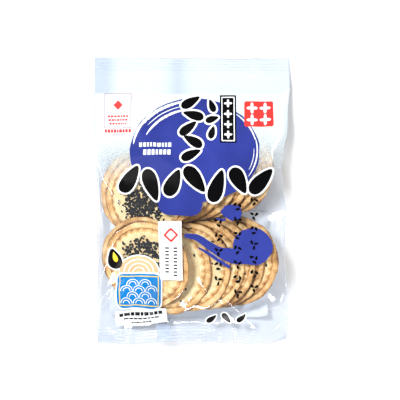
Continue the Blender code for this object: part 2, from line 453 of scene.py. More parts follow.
def make_cracker(index, places, material):
    """One cracker as a closed mesh: fluted upper face, thin wavy flange, flat underside."""
    rng = np.random.default_rng(900 + index)
    columns = LOBES * COLUMNS_PER_LOBE
    angle = TURN * np.arange(columns) / columns
    wobble = np.zeros(columns)
    for wave in range(2, 9):
        wobble += rng.normal(0.0, 0.16 * MM) * np.cos(wave * angle + rng.uniform(0.0, TURN))
    for wave in range(9, 40, 3):
        wobble += rng.normal(0.0, 0.05 * MM) * np.cos(wave * angle + rng.uniform(0.0, TURN))
    radii = cracker_radii()
    ring_radius = radii[:, None] + wobble[None, :] * smooth_step(radii, 30 * MM, 35 * MM)[:, None]
    x = ring_radius * np.cos(angle)
    y = ring_radius * np.sin(angle)
    height, toast_and_shade = cracker_top(x, y, 700 + index)
    edge_radius = RIM_RADIUS + wobble
    middle = 0.5 * (height[-1] + FLANGE_UNDERSIDE)
    side_x = np.stack((edge_radius * np.cos(angle), (edge_radius - 0.3 * MM) * np.cos(angle)))
    side_y = np.stack((edge_radius * np.sin(angle), (edge_radius - 0.3 * MM) * np.sin(angle)))
    side_z = np.stack((middle, np.full(columns, FLANGE_UNDERSIDE)))
    under_radii = np.array((33.0, 30.5, 29.5, 20.0, 8.0)) * MM
    under_x = under_radii[:, None] * np.cos(angle)
    under_y = under_radii[:, None] * np.sin(angle)
    under_z = FLANGE_UNDERSIDE * smooth_step(under_radii, 29.5 * MM, 31.0 * MM)[:, None]
    under_z = under_z + 0.06 * MM * (1.0 + ripple(under_x, under_y, 12 * MM, rng))
    rings_x = np.concatenate((x, side_x, under_x))
    rings_y = np.concatenate((y, side_y, under_y))
    rings_z = np.concatenate((height, side_z, under_z))
    side_toast = np.stack((toast_and_shade[-1] + 0.30, toast_and_shade[-1] + 0.45))
    under_toast = 0.34 + 0.08 * ripple(under_x, under_y, 14 * MM, rng)
    rings_toast_and_shade = np.concatenate((toast_and_shade, side_toast, under_toast))
    count = rings_x.shape[0]
    local = np.stack((rings_x, rings_y, rings_z), axis=-1).reshape(-1, 3)
    top_height, top_toast = cracker_top(np.zeros(1), np.zeros(1), 700 + index)
    local = np.vstack((local, (0.0, 0.0, top_height[0]), (0.0, 0.0, 0.06 * MM)))
    toast_and_shade_values = np.append(rings_toast_and_shade.ravel(), (top_toast[0], 0.3))
    origin, across, along, up = places[index]
    points = origin + local[:, 0:1] * across + local[:, 1:2] * along + local[:, 2:3] * up
    # painted shade on the lower cracker where one above lies close
    toast_and_shade_values = toast_and_shade_values + OVERLAP_PAINTED_SHADE * painted_overlap_shade(points, places[index + 1:])
    faces = []
    for ring in range(count - 1):
        for column in range(columns):
            following = (column + 1) % columns
            a = ring * columns + column
            b = ring * columns + following
            faces.append((a, a + columns, b + columns, b))
    last = (count - 1) * columns
    for column in range(columns):
        following = (column + 1) % columns
        faces.append((count * columns, column, following))
        faces.append((count * columns + 1, last + following, last + column))
    piece = new_object(f"cracker_{index + 1:02d}", points, faces, material)
    add_attribute(piece, "toast_and_shade", toast_and_shade_values)
    return piece


# ---------------------------------------------------------------- sesame

def seed_shape():
    """One teardrop seed lying along X, unit size, as points and faces."""
    rings = 5
    around = 8
    points = [(0.5, 0.0, 0.0)]
    for ring in range(1, rings + 1):
        polar = math.pi * ring / (rings + 1)
        girth = 0.5 * math.sin(polar) * (1.0 - 0.30 * math.cos(polar))
        for step in range(around):
            turn = TURN * step / around
            points.append((0.5 * math.cos(polar), girth * math.cos(turn), girth * math.sin(turn)))
    points.append((-0.5, 0.0, 0.0))
    faces = []
    for step in range(around):
        following = (step + 1) % around
        faces.append((0, 1 + step, 1 + following))
        for ring in range(rings - 1):
            a = 1 + ring * around + step
            b = 1 + ring * around + following
            faces.append((a, a + around, b + around))
            faces.append((a, b + around, b))
        last = 1 + (rings - 1) * around
        faces.append((last + step, len(points) - 1, last + following))
    return np.array(points), np.array(faces)


def seed_places(heap):
    """Where each seed lies: patches on the two top crackers, and a few strays on the rows."""
    rng = np.random.default_rng(41)
    places = []
    for patch in SEED_PATCHES:
        index = patch["cracker"]
        for _ in range(patch["count"]):
            reach = math.sqrt(rng.uniform(0.0, 1.0)) * (1.0 + 0.10 * rng.normal())
            turn = rng.uniform(0.0, TURN)
            x = patch["offset"][0] + patch["spread"][0] * reach * math.cos(turn)
            y = patch["offset"][1] + patch["spread"][1] * reach * math.sin(turn)
            places.append((index, x, y))
        for _ in range(26):
            reach = rng.uniform(1.0, 1.45)
            turn = rng.uniform(0.0, TURN)
            x = patch["offset"][0] + patch["spread"][0] * reach * math.cos(turn)
            y = patch["offset"][1] + patch["spread"][1] * reach * math.sin(turn)
            if math.hypot(x, y) < 27 * MM:
                places.append((index, x, y))
    for _ in range(STRAYS["count"]):
        spot = np.array((rng.uniform(*STRAYS["across"]), rng.uniform(*STRAYS["along"])))
        for index in reversed(range(len(heap.places))):
            x, y, _ = on_cracker(heap.places[index], spot)
            if math.hypot(x, y) < RIM_RADIUS:
                places.append((index, x, y))
                break
    return places


def make_sesame(heap, material):
    """All the seeds as one joined mesh."""
    shape, shape_faces = seed_shape()
    rng = np.random.default_rng(57)
    points = []
    faces = []
    for number, (index, x, y) in enumerate(seed_places(heap)):
        origin, across, along, up = heap.places[index]
        height, _ = cracker_top(np.array([x]), np.array([y]), 700 + index)
        turn = rng.uniform(0.0, TURN)
        lean = rng.normal(0.0, 0.22)
        roll = rng.normal(0.0, 0.30)
        ahead = math.cos(turn) * across + math.sin(turn) * along
        aside = np.cross(up, ahead)
        long_axis = math.cos(lean) * ahead + math.sin(lean) * up
        wide_axis = math.cos(roll) * aside + math.sin(roll) * np.cross(long_axis, aside)
        thick_axis = np.cross(long_axis, wide_axis)
        size = np.array(SEED_SIZE) * rng.uniform(0.85, 1.12)
        lift = height[0] + 0.22 * MM + rng.uniform(0.0, 0.60 * MM)
        centre = origin + x * across + y * along + lift * up
        body = (shape[:, 0:1] * size[0] * long_axis + shape[:, 1:2] * size[1] * wide_axis
                + shape[:, 2:3] * size[2] * thick_axis)
        points.append(centre + body)
        faces.append(shape_faces + number * len(shape))
    return new_object("sesame_seeds", np.vstack(points), np.vstack(faces), material)


# ---------------------------------------------------------------- film simulation

def grown(field, slope, cell):
    """The field raised so that it nowhere falls away more steeply than the slope."""
    field = field.copy()
    straight = slope * cell
    slanted = straight * math.sqrt(2.0)
    while True:
        lifted = field.copy()
        lifted[1:] = np.maximum(lifted[1:], field[:-1] - straight)
        lifted[:-1] = np.maximum(lifted[:-1], field[1:] - straight)
        lifted[:, 1:] = np.maximum(lifted[:, 1:], field[:, :-1] - straight)
        lifted[:, :-1] = np.maximum(lifted[:, :-1], field[:, 1:] - straight)
        lifted[1:, 1:] = np.maximum(lifted[1:, 1:], field[:-1, :-1] - slanted)
        lifted[:-1, :-1] = np.maximum(lifted[:-1, :-1], field[1:, 1:] - slanted)
        lifted[1:, :-1] = np.maximum(lifted[1:, :-1], field[:-1, 1:] - slanted)
        lifted[:-1, 1:] = np.maximum(lifted[:-1, 1:], field[1:, :-1] - slanted)
        if np.abs(lifted - field).max() < 1e-7:
            return lifted
        field = lifted


def softened(field, passes):
    """The field blurred a little."""
    for _ in range(passes):
        mean = field.copy()
        mean[1:-1, 1:-1] = (field[1:-1, 1:-1] * 4 + field[2:, 1:-1] + field[:-2, 1:-1]
                            + field[1:-1, 2:] + field[1:-1, :-2]) / 8
        field = mean
    return field


class Contents:
    """What the film can't pass through: the heap's upper and lower faces as height fields."""

    NOTHING = -1.0

    def __init__(self, heap):
        self.xs = heap.xs
        self.ys = heap.ys
        self.cell = heap.CELL
        filled = heap.top > 0.0
        top = np.where(filled, heap.top + FILM_CLEARANCE, self.NOTHING)
        low = np.where(filled, FILM_CLEARANCE / 2 - heap.low, self.NOTHING)
        self.top = softened(grown(top, CONTENT_SLOPE, self.cell), 6)
        self.low = softened(-grown(low, CONTENT_SLOPE, self.cell), 3)

    def read(self, field, points):
        """Bilinear reading of a field under points."""
        column = np.clip((points[..., 0] - self.xs[0]) / self.cell, 0, len(self.xs) - 1.001)
        line = np.clip((points[..., 1] - self.ys[0]) / self.cell, 0, len(self.ys) - 1.001)
        i = column.astype(int)
        j = line.astype(int)
        a = column - i
        b = line - j
        near = field[i, j] * (1 - a) + field[i + 1, j] * a
        far = field[i, j + 1] * (1 - a) + field[i + 1, j + 1] * a
        return near * (1 - b) + far * b


class Tube:
    """Front and back films as two grids of points that share the side folds and the seals."""

    LINKS = ((1, 0, "hold"), (0, 1, "hold"), (1, 1, "shear"), (1, -1, "shear"),
             (2, 0, "bend"), (0, 2, "bend"))

    def __init__(self, columns, rows):
        self.us = np.linspace(-FLAT_WIDTH / 2, FLAT_WIDTH / 2, columns + 1)
        self.vs = np.linspace(-FLAT_LENGTH / 2, FLAT_LENGTH / 2, rows + 1)
        self.front = np.arange((columns + 1) * (rows + 1)).reshape(columns + 1, rows + 1)
        self.back = self.front.copy()
        self.open_rows = np.abs(self.vs) < FLAT_LENGTH / 2 - SEAL_LENGTH
        inner = (columns - 1) * int(self.open_rows.sum())
        own = self.front.size + np.arange(inner).reshape(columns - 1, -1)
        self.back[1:-1, self.open_rows] = own
        self.count = self.front.size + inner
        self.links = self.front_and_back_links()

    def give(self, v):
        """How much wider the film is drawn over the heap than at the seals."""
        end = FLAT_LENGTH / 2 - SEAL_LENGTH
        low = smooth_step(v, -end, -end + 30 * MM)
        high = 1.0 - smooth_step(v, end - 60 * MM, end)
        return 1.0 + FILM_GIVE * low * high

    def front_and_back_links(self):
        """Pairs of points to hold apart, in groups where no point comes twice."""
        groups = []
        width = self.us[1] - self.us[0]
        length = self.vs[1] - self.vs[0]
        for grid in (self.front, self.back):
            for step_i, step_j, kind in self.LINKS:
                rows = slice(max(0, -step_j), grid.shape[1] - max(0, step_j))
                other = slice(max(0, step_j), grid.shape[1] - max(0, -step_j))
                first = grid[:grid.shape[0] - step_i, rows]
                second = grid[step_i:, other]
                i, j = np.indices(first.shape)
                v = self.vs[rows][j]
                rest = np.hypot(step_i * width * self.give(v), step_j * length)
                turn = (i // step_i) % 2 if step_j == 0 else (j // step_j) % 2
                if kind == "shear":
                    turn = i % 2
                own = first != second
                if grid is self.back:
                    front_first = self.front[:grid.shape[0] - step_i, rows]
                    front_second = self.front[step_i:, other]
                    own = (first != front_first) | (second != front_second)
                for colour in (0, 1):
                    pick = (turn == colour) & own
                    groups.append((first[pick], second[pick], rest[pick], kind))
        return groups


def hold_links(points, groups):
    """One pass over all pairs, each moved towards its flat distance."""
    for first, second, rest, kind in groups:
        apart = points[second] - points[first]
        length = np.sqrt((apart * apart).sum(1)) + 1e-12
        error = (length - rest) / length
        if kind == "hold":
            hold = np.where(error > 0, STRETCH_HOLD, PRESS_HOLD)
        elif kind == "shear":
            hold = np.where(error > 0, SHEAR_HOLD, SHEAR_HOLD / 2)
        else:
            hold = np.where(error > 0, 0.0, BEND_HOLD)
        move = (0.5 * hold * error)[:, None] * apart
        points[first] += move
        points[second] -= move


def settle(tube, points, contents, steps, nudge, seed):
    """Lets the film tighten and fall on the heap."""
    rng = np.random.default_rng(seed)
    before = points.copy()
    front = np.arange(tube.count) < tube.front.size
    back = ~front
    lowest = np.where(front, FRONT_HEIGHT, BACK_HEIGHT)
    open_front = tube.front[1:-1, tube.open_rows]
    open_back = tube.back[1:-1, tube.open_rows]
    for _ in range(steps):
        move = (points - before) * DAMPING
        speed = np.sqrt((move * move).sum(1))
        move *= np.minimum(1.0, LONGEST_MOVE / np.maximum(speed, 1e-9))[:, None]
        before = points.copy()
        points = points + move + rng.normal(0.0, nudge, points.shape)
        points[:, 2] -= FALL
        for _ in range(PASSES):
            hold_links(points, tube.links)
            top = contents.read(contents.top, points)
            low = contents.read(contents.low, points)
            points[front, 2] = np.maximum(points[front, 2], top[front])
            under = np.minimum(points[:, 2], np.maximum(low, BACK_HEIGHT))
            points[back, 2] = under[back]
            gap = points[open_front, 2] - points[open_back, 2]
            short = np.maximum(0.0, FRONT_HEIGHT - BACK_HEIGHT - gap) / 2
            points[open_front, 2] += short
            points[open_back, 2] -= short
            points[:, 2] = np.maximum(points[:, 2], lowest)
    return points


def first_guess(tube, contents):
    """Front film laid over the heap like a taut sheet, back film flat on the table."""
    u, v = np.meshgrid(tube.us, tube.vs, indexing="ij")
    x = u * 0.95
    y = v * 0.985 - 1.5 * MM
    places = np.stack((x, y), axis=-1)
    floor = np.maximum(contents.read(contents.top, places), 1 * MM)
    height = floor.copy()
    for edge in (np.s_[0], np.s_[-1], np.s_[:, 0], np.s_[:, -1]):
        height[edge] = 3 * MM
    for _ in range(200):
        mean = (height[2:, 1:-1] + height[:-2, 1:-1] + height[1:-1, 2:] + height[1:-1, :-2]) / 4
        height[1:-1, 1:-1] = np.maximum(floor[1:-1, 1:-1], mean)
    points = np.zeros((tube.count, 3))
    points[tube.front] = np.stack((x, y, height), axis=-1)
    own = tube.back != tube.front
    points[tube.back[own]] = np.stack((x[own], y[own], np.full(own.sum(), BACK_HEIGHT)), axis=-1)
    return points


def between(grid, us, vs, u, v):
    """Bilinear reading of a grid of points at flat places u, v."""
    column = np.clip((u - us[0]) / (us[1] - us[0]), 0, len(us) - 1.0001)
    line = np.clip((v - vs[0]) / (vs[1] - vs[0]), 0, len(vs) - 1.0001)
    i = column.astype(int)
    j = line.astype(int)
    a = (column - i)[..., None]
    b = (line - j)[..., None]
    near = grid[i, j] * (1 - a) + grid[i + 1, j] * a
    far = grid[i, j + 1] * (1 - a) + grid[i + 1, j + 1] * a
    return near * (1 - b) + far * b


def refined(old, new, points):
    """The points of a coarse tube carried to a finer one."""
    u, v = np.meshgrid(new.us, new.vs, indexing="ij")
    finer = np.zeros((new.count, 3))
    finer[new.front] = between(points[old.front], old.us, old.vs, u, v)
    own = new.back != new.front
    finer[new.back[own]] = between(points[old.back], old.us, old.vs, u, v)[own]
    return finer


def drape_film(heap):
    """Runs the simulation from coarse to fine. Returns the tube and both grids of points."""
    contents = Contents(heap)
    tube = None
    points = None
    for number, level in enumerate(FILM_LEVELS):
        finer = Tube(level["columns"], level["rows"])
        points = first_guess(finer, contents) if tube is None else refined(tube, finer, points)
        tube = finer
        last = number == len(FILM_LEVELS) - 1
        if not (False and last):
            points = settle(tube, points, contents, level["steps"], level["nudge"], 5 + number)
    return tube, softened(points[tube.front], SMOOTHING), softened(points[tube.back], SMOOTHING)


# ---------------------------------------------------------------- film meshes

def sheet_normals(grid):
    """Upward unit normals of a grid of points."""
    across = np.gradient(grid, axis=0)
    along = np.gradient(grid, axis=1)
    normals = np.cross(across, along)
    return normals / np.linalg.norm(normals, axis=-1, keepdims=True)


class Film:
    """The draped film on its final lines: closer together on the seals, which are crimped."""

    SEAL_PARTS = 3
    BOND = 0.06 * MM

    def __init__(self, heap):
        tube, front, back = drape_film(heap)
        self.us = tube.us
        self.vs = self.final_rows(tube)
        self.plan_vs = tube.vs
        self.plan = softened(front[..., :2], 80)
        u, v = np.meshgrid(self.us, self.vs, indexing="ij")
        self.front = between(front, tube.us, tube.vs, u, v)
        self.back = between(back, tube.us, tube.vs, u, v)
        from_end = FLAT_LENGTH / 2 - np.abs(v)
        on_seal = 1.0 - smooth_step(from_end, SEAL_LENGTH - CRIMP_PITCH, SEAL_LENGTH)
        wave = CRIMP_DEPTH * np.cos(from_end / CRIMP_PITCH * TURN) * on_seal
        cloud = ripple(u, v, 50 * MM, np.random.default_rng(77))
        patches = np.clip(0.42 + 0.30 * cloud - 0.60 * u / (BAG_WIDTH / 2), 0.04, 1.0)
        pressed = 0.5 - 0.5 * np.cos(from_end / CRIMP_PITCH * TURN)
        fold = FOLD_FROST * (np.abs(u) > FLAT_WIDTH / 2 - 0.1 * MM)
        self.frost = np.maximum(SEAL_FROST * on_seal * patches * pressed, fold)
        self.normals = sheet_normals(self.front)
        self.back_normals = sheet_normals(self.back)
        self.front += self.normals * (wave + self.BOND * on_seal + CRIMP_DEPTH * on_seal)[..., None]
        self.back += self.back_normals * (wave - self.BOND * on_seal + CRIMP_DEPTH * on_seal)[..., None]
        self.normals = sheet_normals(self.front)
        self.back_normals = sheet_normals(self.back)

    def flat_places(self, seen):
        """Flat places that lie at the seen ones once the film's small folds are left out."""
        flat = seen.copy()
        for _ in range(14):
            flat += seen - between(self.plan, self.us, self.plan_vs, flat[:, 0], flat[:, 1])
        return flat

    def final_rows(self, tube):
        """The simulation's rows, with more of them over the two seals."""
        rows = []
        for low, high in zip(tube.vs[:-1], tube.vs[1:]):
            at_seal = max(abs(low), abs(high)) > FLAT_LENGTH / 2 - SEAL_LENGTH
            parts = self.SEAL_PARTS if at_seal else 1
            rows.extend(low + (high - low) * part / parts for part in range(parts))
        rows.append(tube.vs[-1])
        return np.array(rows)


def grid_faces(columns, rows, start=0, flip=False):
    """Two triangles for each cell of a grid, all cut along the same diagonal."""
    index = start + np.arange(columns * rows).reshape(columns, rows)
    a = index[:-1, :-1].ravel()
    b = index[1:, :-1].ravel()
    c = index[1:, 1:].ravel()
    d = index[:-1, 1:].ravel()
    faces = np.concatenate((np.stack((a, b, c), 1), np.stack((a, c, d), 1)))
    return faces[:, ::-1] if flip else faces


def make_film(film, material):
    """Front and back film as one closed tube."""
    columns, rows = len(film.us), len(film.vs)
    points = np.concatenate((film.front.reshape(-1, 3), film.back.reshape(-1, 3)))
    faces = np.concatenate((
        grid_faces(columns, rows),
        grid_faces(columns, rows, start=columns * rows, flip=True),
    ))
    piece = new_object("film", points, faces, material)
    add_attribute(piece, "frost", np.concatenate((film.frost.ravel(), film.frost.ravel())))
    return piece


def film_material():
    """Clear polypropylene: a faint blue tint, a mirror that grows towards grazing, frosted seals."""
    material = new_material("clear_film")
    facing = add_node(material, "ShaderNodeLayerWeight", Blend=0.5)
    steep = add_node(material, "ShaderNodeMath", operation="POWER")
    steep.inputs[1].default_value = 3.5
    link(material, facing.outputs["Facing"], steep.inputs[0])
    share = add_node(material, "ShaderNodeMath", operation="MULTIPLY_ADD", use_clamp=True)
    share.inputs[1].default_value = 0.70
    share.inputs[2].default_value = 0.038
    link(material, steep.outputs[0], share.inputs[0])
    clear = add_node(material, "ShaderNodeBsdfTransparent")
    clear.inputs["Color"].default_value = (0.940, 0.962, 0.997, 1.0)
    gloss = add_node(material, "ShaderNodeBsdfGlossy", Roughness=0.06)
    gloss.inputs["Color"].default_value = (1.0, 1.0, 1.0, 1.0)
    both = add_node(material, "ShaderNodeMixShader")
    link(material, share.outputs[0], both.inputs["Fac"])
    link(material, clear.outputs[0], both.inputs[1])
    link(material, gloss.outputs[0], both.inputs[2])
    frost = add_node(material, "ShaderNodeAttribute", attribute_name="frost")
    dull = add_node(material, "ShaderNodeBsdfPrincipled", Roughness=0.5)
    dull.inputs["Base Color"].default_value = (0.66, 0.73, 0.85, 1.0)
    frosted = add_node(material, "ShaderNodeMixShader")
    link(material, frost.outputs["Fac"], frosted.inputs["Fac"])
    link(material, both.outputs[0], frosted.inputs[1])
    link(material, dull.outputs[0], frosted.inputs[2])
    return finish_material(material, frosted)


# ---------------------------------------------------------------- print shapes, in millimetres

def oval(centre, radii, turn=0.0, rough=0.0, seed=0, steps=72):
    """An ellipse turned by some degrees, its edge roughened like a brush's."""
    rng = np.random.default_rng(seed)
    angle = TURN * np.arange(steps) / steps
    reach = np.ones(steps)
    for wave in (3, 5, 8, 13, 21, 30):
        reach = reach + rough * rng.normal() / math.sqrt(wave) * np.cos(wave * angle + rng.uniform(0, TURN))
    x = radii[0] * reach * np.cos(angle)
    y = radii[1] * reach * np.sin(angle)
    return turned(np.stack((x, y), axis=1), turn) + np.array(centre)


def turned(points, degrees):
    """Points turned about the origin."""
    angle = math.radians(degrees)
    matrix = np.array(((math.cos(angle), math.sin(angle)), (-math.sin(angle), math.cos(angle))))
    return points @ matrix


def bar(centre, size, turn=0.0, corner=0.35):
    """A rectangle with rounded corners."""
    half_x = size[0] / 2 - corner
    half_y = size[1] / 2 - corner
    points = []
    for quarter, (side_x, side_y) in enumerate(((1, 1), (-1, 1), (-1, -1), (1, -1))):
        for step in range(4):
            angle = math.radians(90 * quarter + 30 * step)
            points.append((side_x * half_x + corner * math.cos(angle),
                           side_y * half_y + corner * math.sin(angle)))
    return turned(np.array(points), turn) + np.array(centre)


def half_oval(centre, radii, steps=24):
    """The upper half of an ellipse."""
    angle = math.pi * np.arange(steps + 1) / steps
    return np.stack((radii[0] * np.cos(angle), radii[1] * np.sin(angle)), axis=1) + np.array(centre)


def drop(centre, length, width, turn=0.0, steps=28):
    """A sesame seed's outline: round at one end, pointed at the other."""
    angle = TURN * np.arange(steps) / steps
    x = length / 2 * np.cos(angle)
    y = width / 2 * np.sin(angle) * (1.0 - 0.42 * np.cos(angle)) / 1.08
    return turned(np.stack((x, y), axis=1), turn) + np.array(centre)


def smooth_line(points, steps=10):
    """A smooth curve through the points."""
    points = np.array(points, float)
    ends = np.vstack((2 * points[0] - points[1], points, 2 * points[-1] - points[-2]))
    line = []
    for a, b, c, d in zip(ends[:-3], ends[1:-2], ends[2:-1], ends[3:]):
        for step in range(steps):
            t = step / steps
            line.append(0.5 * (2 * b + (c - a) * t + (2 * a - 5 * b + 4 * c - d) * t ** 2
                               + (3 * b - a - 3 * c + d) * t ** 3))
    line.append(points[-1])
    return np.array(line)


def stroke(points, rough=0.0, seed=0):
    """A brush stroke through (x, y, width) points, round at both ends."""
    rng = np.random.default_rng(seed)
    line = smooth_line(points)
    place = line[:, :2]
    half = line[:, 2] / 2 * (1.0 + rough * rng.normal(size=len(line)))
    ahead = np.gradient(place, axis=0)
    ahead /= np.linalg.norm(ahead, axis=1, keepdims=True)
    aside = np.stack((-ahead[:, 1], ahead[:, 0]), axis=1)
    left = place + aside * half[:, None]
    right = place - aside * half[:, None]
    caps = []
    for end, way in ((-1, 1), (0, -1)):
        turns = np.radians(np.arange(-60, 61, 30))
        cap = [place[end] + half[end] * (math.cos(turn) * way * ahead[end]
                                         - math.sin(turn) * way * aside[end]) for turn in turns]
        caps.append(np.array(cap))
    return np.vstack((left, caps[0], right[::-1], caps[1]))


def widened(loop, margin):
    """A loop grown outwards by a margin."""
    ahead = np.roll(loop, -1, axis=0) - np.roll(loop, 1, axis=0)
    ahead /= np.linalg.norm(ahead, axis=1, keepdims=True) + 1e-12
    area = np.sum(loop[:, 0] * np.roll(loop[:, 1], -1) - loop[:, 1] * np.roll(loop[:, 0], -1))
    outwards = np.stack((ahead[:, 1], -ahead[:, 0]), axis=1) * math.copysign(1.0, area)
    return loop + outwards * margin


def arc_band(part, start, end, width, rough=0.0, seed=0):
    """A band that follows the round field's edge at a part of its radius, thin at its ends."""
    centre = ROUND_FIELD["centre"]
    radii = ROUND_FIELD["radii"]
    points = []
    for degrees in np.linspace(start, end, 14):
        angle = math.radians(degrees)
        share = (degrees - start) / (end - start)
        swell = 0.25 + 0.75 * math.sin(math.pi * share) ** 0.5
        points.append((centre[0] + radii[0] * part * math.cos(angle),
                       centre[1] + radii[1] * part * math.sin(angle), width * swell))
    return stroke(points, rough, seed)


def petals(centre, size):
    """A plain four-petalled flower."""
    loops = []
    for degrees in (0, 90, 180, 270):
        offset = turned(np.array(((size * 0.28, 0.0),)), degrees)[0]
        loops.append([oval(np.array(centre) + offset, (size * 0.26, size * 0.15), degrees, steps=20)])
    return loops


def dash_row(centre, size, count, gap, rng):
    """A row of plain dashes of uneven length across a width, in place of a line of lettering."""
    shares = rng.uniform(0.6, 1.4, count)
    lengths = shares / shares.sum() * (size[0] - gap * (count - 1))
    left = centre[0] - size[0] / 2
    loops = []
    for length in lengths:
        loops.append([bar((left + length / 2, centre[1]), (length, size[1]), corner=0.2)])
        left += length + gap
    return loops


def frame_loops(centre, size, line):
    """A rectangular outline: outer loop and inner loop."""
    inner = (size[0] - 2 * line, size[1] - 2 * line)
    return [bar(centre, size, corner=0.6), bar(centre, inner, corner=0.4)]


def title_drops():
    """The big seeds across the field, and the smaller ones that fall towards them."""
    loops = []
    for step, turn in enumerate((58, -70, 64, -52, 72, -62, 50)):
        x = -50.0 + 17.6 * step
        y = 14.5 + 3.0 * math.cos(step * 2.3)
        loops.append(drop((x, y), 25.0 + 2.5 * math.sin(step * 2.1), 12.0, turn))
    for step, turn in enumerate((25, 150, 40, 165, 30)):
        x = -0.5 + 2.4 * math.sin(step * 2.4)
        loops.append(drop((x, 37.0 + 10.8 * step), 17.0, 7.6, turn))
    for step, turn in enumerate((75, 20, 110)):
        loops.append(drop((16.5, 55.0 + 11.0 * step), 11.0, 5.4, turn))
    return loops


def wave_scales(centre, size, radius):
    """Traditional rows of overlapping wave arcs inside a rectangle, as thin strokes."""
    loops = []
    rows = int(size[1] / radius)
    for row in range(rows):
        y = centre[1] - size[1] / 2 + radius * 0.15 + row * radius
        shift = radius if row % 2 else 0.0
        x = centre[0] - size[0] / 2 + radius + shift
        while x + radius <= centre[0] + size[0] / 2 + 0.1:
            for share in (0.92, 0.52):
                points = []
                for degrees in range(0, 181, 30):
                    angle = math.radians(degrees)
                    points.append((x + radius * share * math.cos(angle),
                                   y + radius * share * 0.9 * math.sin(angle), 0.55))
                loops.append([stroke(points)])
            x += 2 * radius
    return loops


